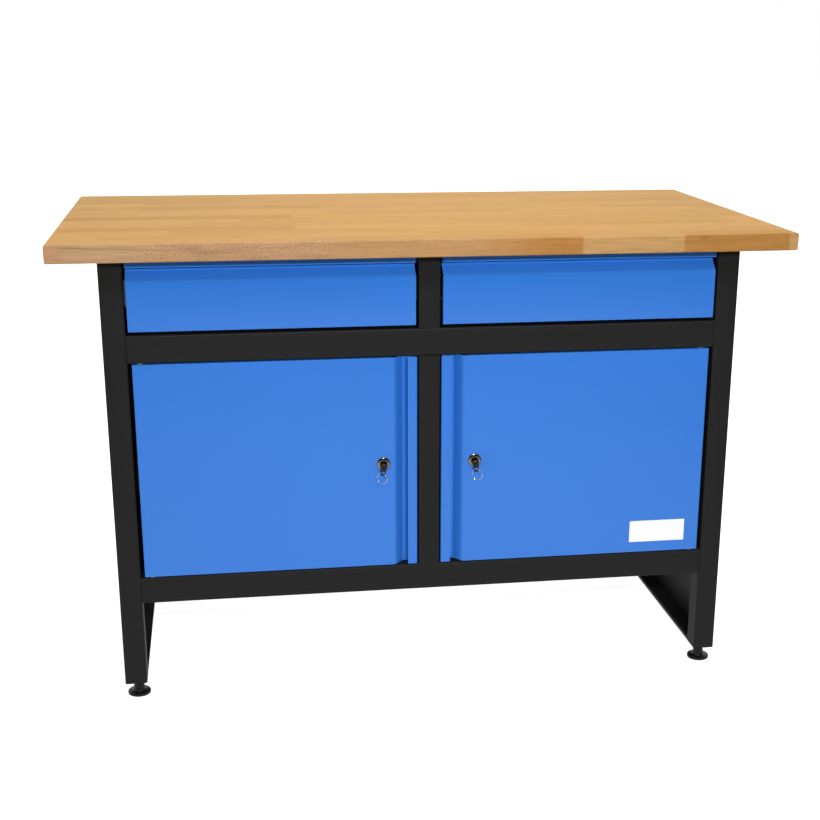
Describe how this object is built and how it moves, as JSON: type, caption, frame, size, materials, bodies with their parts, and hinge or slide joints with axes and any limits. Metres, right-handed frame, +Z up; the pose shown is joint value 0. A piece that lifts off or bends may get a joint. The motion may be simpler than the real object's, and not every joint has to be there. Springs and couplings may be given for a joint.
{
  "type": "workbench with cabinet doors",
  "caption": "Workbench with a solid beech top, a charcoal steel frame, blue drawers on slides over blue lockable cabinet doors, and adjustable feet.",
  "frame": {"origin": "on the floor, under the middle of the worktop", "axes": "X to the right seen from the doors, Y from the doors to the back, Z up"},
  "size_m": [1.258, 0.69, 0.83],
  "materials": {
    "beech_board": "oiled, satin, finger-jointed staves",
    "charcoal_paint": "fine-textured powder coat",
    "blue_paint": "semi-gloss powder coat",
    "zinc_steel": "bright zinc plate",
    "lock_chrome": "polished chrome plate",
    "black_plastic": "moulded, matt"
  },
  "bodies": {
    "frame": {"worktop": "beech_board", "side_panel_left": "charcoal_paint", "side_panel_right": "charcoal_paint", "middle_rail": "charcoal_paint", "bottom_front_rail": "charcoal_paint", "bottom_rear_rail": "charcoal_paint", "top_front_rail": "charcoal_paint", "upper_centre_post": "charcoal_paint", "lower_centre_post": "charcoal_paint", "drawer_divider": "charcoal_paint", "back_panel": "charcoal_paint", "cabinet_floor": "charcoal_paint", "slide_left_leg_outer": "zinc_steel", "slide_left_divider_outer": "zinc_steel", "slide_right_leg_outer": "zinc_steel", "slide_right_divider_outer": "zinc_steel", "door_left_lower_pin": "zinc_steel", "door_left_upper_pin": "zinc_steel", "door_right_lower_pin": "zinc_steel", "door_right_upper_pin": "zinc_steel"},
    "drawer_left": {"drawer_left_front": "blue_paint", "drawer_left_box": "blue_paint", "slide_left_leg_inner": "zinc_steel", "slide_left_divider_inner": "zinc_steel"},
    "slide_left_leg": {"slide_left_leg_middle": "zinc_steel"},
    "slide_left_divider": {"slide_left_divider_middle": "zinc_steel"},
    "drawer_right": {"drawer_right_front": "blue_paint", "drawer_right_box": "blue_paint", "slide_right_leg_inner": "zinc_steel", "slide_right_divider_inner": "zinc_steel"},
    "slide_right_leg": {"slide_right_leg_middle": "zinc_steel"},
    "slide_right_divider": {"slide_right_divider_middle": "zinc_steel"},
    "door_left": {"door_left_panel": "blue_paint", "lock_left_housing": "lock_chrome", "lock_left_nut": "zinc_steel"},
    "lock_left": {"lock_left_plug": "lock_chrome", "lock_left_cam": "zinc_steel", "lock_left_cam_screw": "zinc_steel", "key_left_shank": "lock_chrome"},
    "key_left": {"key_left_bow": "black_plastic"},
    "key_left_ring": {"key_left_ring": "lock_chrome"},
    "door_right": {"door_right_panel": "blue_paint", "lock_right_housing": "lock_chrome", "lock_right_nut": "zinc_steel"},
    "lock_right": {"lock_right_plug": "lock_chrome", "lock_right_cam": "zinc_steel", "lock_right_cam_screw": "zinc_steel", "key_right_shank": "lock_chrome"},
    "key_right": {"key_right_bow": "black_plastic"},
    "key_right_ring": {"key_right_ring": "lock_chrome"},
    "foot_front_left": {"foot_front_left_pad": "black_plastic", "foot_front_left_stud": "zinc_steel"},
    "foot_front_right": {"foot_front_right_pad": "black_plastic", "foot_front_right_stud": "zinc_steel"},
    "foot_rear_left": {"foot_rear_left_pad": "black_plastic", "foot_rear_left_stud": "zinc_steel"},
    "foot_rear_right": {"foot_rear_right_pad": "black_plastic", "foot_rear_right_stud": "zinc_steel"}
  },
  "joints": [
    {"name": "drawer_left_slide", "type": "slide", "parent": "frame", "child": "drawer_left", "axis": [0, -1, 0], "range_m": [0, 0.43]},
    {"name": "slide_left_leg_travel", "type": "slide", "parent": "frame", "child": "slide_left_leg", "axis": [0, -1, 0], "range_m": [0, 0.215]},
    {"name": "slide_left_divider_travel", "type": "slide", "parent": "frame", "child": "slide_left_divider", "axis": [0, -1, 0], "range_m": [0, 0.215]},
    {"name": "drawer_right_slide", "type": "slide", "parent": "frame", "child": "drawer_right", "axis": [0, -1, 0], "range_m": [0, 0.43]},
    {"name": "slide_right_leg_travel", "type": "slide", "parent": "frame", "child": "slide_right_leg", "axis": [0, -1, 0], "range_m": [0, 0.215]},
    {"name": "slide_right_divider_travel", "type": "slide", "parent": "frame", "child": "slide_right_divider", "axis": [0, -1, 0], "range_m": [0, 0.215]},
    {"name": "door_left_hinge", "type": "hinge", "parent": "frame", "child": "door_left", "pos_m": [-0.49374, -0.2599, 0.23], "axis": [0, 0, -1], "range_deg": [0, 110]},
    {"name": "lock_left_turn", "type": "hinge", "parent": "door_left", "child": "lock_left", "pos_m": [-0.0819, -0.27, 0.424], "axis": [0, -1, 0], "range_deg": [0, 98]},
    {"name": "key_left_fold", "type": "hinge", "parent": "lock_left", "child": "key_left", "pos_m": [-0.0819, -0.2796, 0.424], "axis": [-0.9903, 0, 0.1392], "range_deg": [0, 90]},
    {"name": "key_left_ring_swing", "type": "hinge", "parent": "key_left", "child": "key_left_ring", "pos_m": [-0.0843, -0.2796, 0.40692], "axis": [-0.9903, 0, 0.1392], "range_deg": [0, 12]},
    {"name": "door_right_hinge", "type": "hinge", "parent": "frame", "child": "door_right", "pos_m": [0.49374, -0.2599, 0.23], "axis": [0, 0, 1], "range_deg": [0, 110]},
    {"name": "lock_right_turn", "type": "hinge", "parent": "door_right", "child": "lock_right", "pos_m": [0.0819, -0.27, 0.424], "axis": [0, 1, 0], "range_deg": [0, 98]},
    {"name": "key_right_fold", "type": "hinge", "parent": "lock_right", "child": "key_right", "pos_m": [0.0819, -0.2796, 0.424], "axis": [-0.9903, 0, -0.1392], "range_deg": [0, 90]},
    {"name": "key_right_ring_swing", "type": "hinge", "parent": "key_right", "child": "key_right_ring", "pos_m": [0.0843, -0.2796, 0.40692], "axis": [-0.9903, 0, -0.1392], "range_deg": [0, 12]},
    {"name": "foot_front_left_height", "type": "slide", "parent": "frame", "child": "foot_front_left", "axis": [0, 0, -1], "range_m": [0, 0.02]},
    {"name": "foot_front_right_height", "type": "slide", "parent": "frame", "child": "foot_front_right", "axis": [0, 0, -1], "range_m": [0, 0.02]},
    {"name": "foot_rear_left_height", "type": "slide", "parent": "frame", "child": "foot_rear_left", "axis": [0, 0, -1], "range_m": [0, 0.02]},
    {"name": "foot_rear_right_height", "type": "slide", "parent": "frame", "child": "foot_rear_right", "axis": [0, 0, -1], "range_m": [0, 0.02]}
  ],
  "couplings": [
    {"joint": "slide_left_leg_travel", "follows": "drawer_left_slide", "ratio": 0.5},
    {"joint": "slide_left_divider_travel", "follows": "drawer_left_slide", "ratio": 0.5},
    {"joint": "slide_right_leg_travel", "follows": "drawer_right_slide", "ratio": 0.5},
    {"joint": "slide_right_divider_travel", "follows": "drawer_right_slide", "ratio": 0.5}
  ]
}
